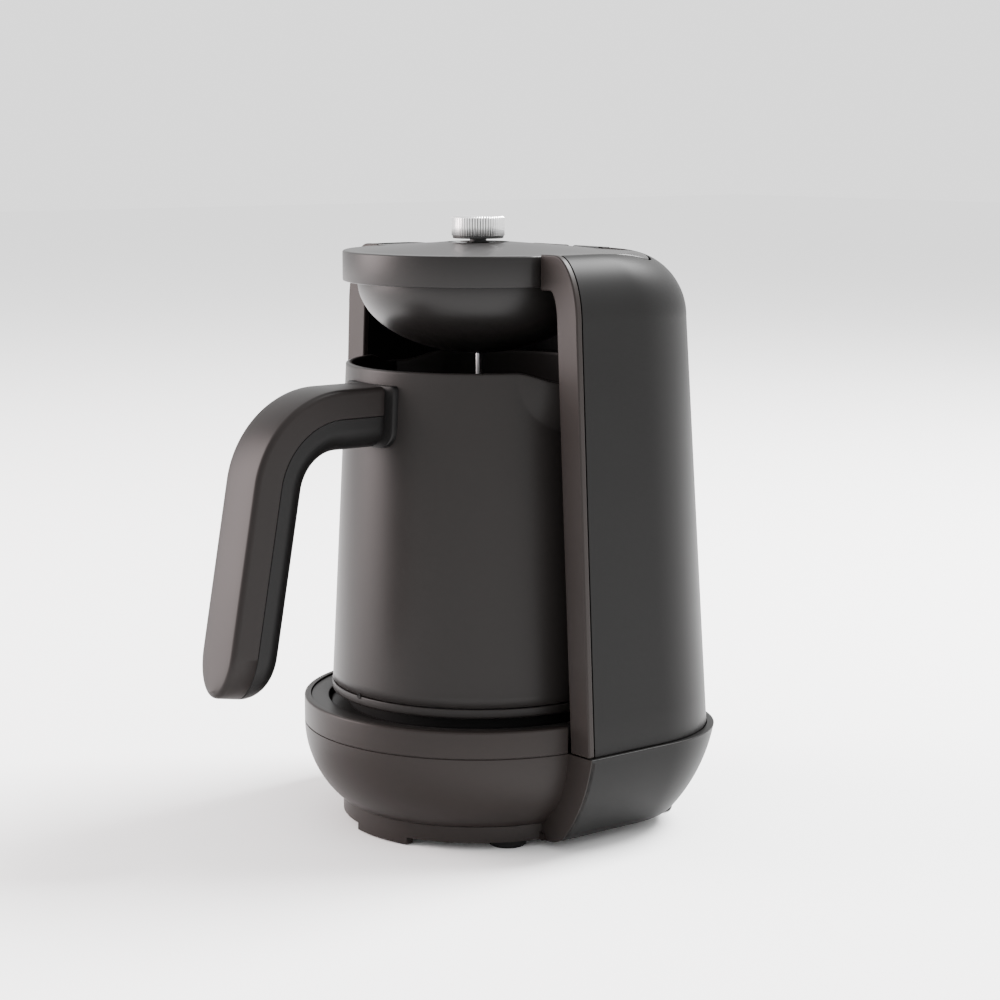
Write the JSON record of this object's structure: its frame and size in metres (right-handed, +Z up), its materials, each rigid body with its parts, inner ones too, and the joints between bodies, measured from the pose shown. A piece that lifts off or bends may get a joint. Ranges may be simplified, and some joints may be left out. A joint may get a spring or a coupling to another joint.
{
  "type": "electric turkish coffee maker",
  "caption": "Electric coffee maker with a lift-off handled pot under a tilting head with a whisk and a turning push knob, held by a U-shaped column on a round base.",
  "frame": {"origin": "centre of the footprint's bounding box, on the table surface", "axes": "+Z up, -Y is the front, where the handle points, X across the machine"},
  "size_m": [0.1518, 0.188, 0.2203],
  "materials": {
    "body_brown": "satin dark brown-grey",
    "body_dark": "satin anthracite",
    "pot_brown": "satin dark brown-grey",
    "tray_dark": "matte",
    "cover_black": "matte",
    "nylon_black": "matte",
    "rubber_black": "matte",
    "board_green": "satin",
    "steel": "plain",
    "bright_steel": "bright",
    "knob_silver": "satin plated",
    "copper": "plain"
  },
  "bodies": {
    "base": {"base_bowl": "body_brown", "base_housing": "body_dark", "base_cover": "cover_black", "feet": "rubber_black", "well_tray": "tray_dark", "seat_ring": "rubber_black", "base_connector": "nylon_black", "control_board": "board_green", "board_parts": "nylon_black", "cord_gland": "rubber_black", "cover_screws": "steel", "front_frame": "body_brown", "rear_shell": "body_dark", "inner_liner": "cover_black", "hinge_bracket": "steel", "hinge_pin": "steel", "hinge_screws": "steel"},
    "head": {"head_cover": "body_dark", "head_tray": "cover_black", "dome": "body_dark", "hinge_leaf": "steel", "head_screws": "steel", "motor": "steel", "motor_bracket": "nylon_black", "motor_screws": "steel", "shaft_bush": "nylon_black", "selector_body": "nylon_black", "selector_nut": "steel"},
    "knob_slider": {"push_plunger": "nylon_black"},
    "knob": {"knob": "knob_silver", "knob_shaft": "steel"},
    "whisk": {"motor_shaft": "steel", "whisk_coupling": "nylon_black", "whisk_rod": "bright_steel", "whisk_coil": "bright_steel"},
    "pot": {"pot_body": "pot_brown", "pot_floor": "steel", "heating_ring": "copper", "thermostat": "nylon_black", "pot_connector": "nylon_black", "pot_base_ring": "body_dark", "handle_bracket": "body_dark", "handle_outer": "body_brown", "handle_inner": "body_dark", "handle_core": "steel", "handle_screws": "steel"}
  },
  "joints": [
    {"name": "head_tilt", "type": "hinge", "parent": "base", "child": "head", "pos_m": [0, 0.06495, 0.2066], "axis": [-1, 0, 0], "range_deg": [0, 75]},
    {"name": "knob_push", "type": "slide", "parent": "head", "child": "knob_slider", "axis": [0, 0, -1], "range_m": [0, 0.0009], "stiffness_N_per_m": 1500, "springref_m": -0.0006},
    {"name": "knob_turn", "type": "hinge", "parent": "knob_slider", "child": "knob", "pos_m": [0, 0.02145, 0.2163], "axis": [0, 0, -1], "continuous": true},
    {"name": "whisk_spin", "type": "hinge", "parent": "head", "child": "whisk", "pos_m": [0, 0.02145, 0.16], "axis": [0, 0, 1], "continuous": true},
    {"name": "pot_lift", "type": "slide", "parent": "base", "child": "pot", "axis": [0, 0, 1], "range_m": [0, 0.01]}
  ]
}
